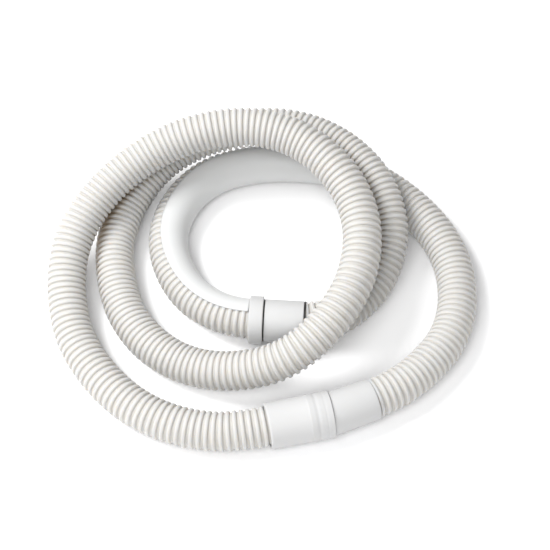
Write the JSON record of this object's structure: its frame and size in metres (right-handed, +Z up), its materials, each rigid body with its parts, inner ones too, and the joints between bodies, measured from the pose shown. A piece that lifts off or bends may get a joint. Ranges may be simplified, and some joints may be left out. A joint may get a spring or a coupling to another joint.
{
  "type": "vacuum hose",
  "caption": "Corrugated pool vacuum hose lying in a closed coil, its two sections joined by a push-fit coupling and a swivel coupling, with a bend guide.",
  "frame": {"origin": "bottom centre of the coil's bounding box, on the surface it lies on", "axes": "+Z up; +X along the coil's longest extent; +Y from the push-fit coupling's side towards the far side of the coil"},
  "size_m": [0.5271, 0.4592, 0.1414],
  "materials": {
    "hose_plastic": "satin, faintly translucent off-white",
    "cuff_plastic": "smooth satin white",
    "seal_rubber": "black rubber",
    "clip_plastic": "black plastic",
    "guide_plastic": "smooth satin off-white"
  },
  "bodies": {
    "hose": {"long_hose": "hose_plastic", "short_hose": "hose_plastic", "grip_cuff": "cuff_plastic", "male_cuff": "cuff_plastic", "nipple_collar": "cuff_plastic", "seal_ring": "seal_rubber", "swivel_bush": "cuff_plastic", "retaining_clip": "clip_plastic", "bend_guide": "guide_plastic"},
    "swivel": {"swivel_cuff": "cuff_plastic"}
  },
  "joints": [
    {"name": "swivel_turn", "type": "hinge", "parent": "hose", "child": "swivel", "pos_m": [0.026, -0.058, 0.03], "axis": [0.9983, -0.0587, 0], "continuous": true}
  ]
}
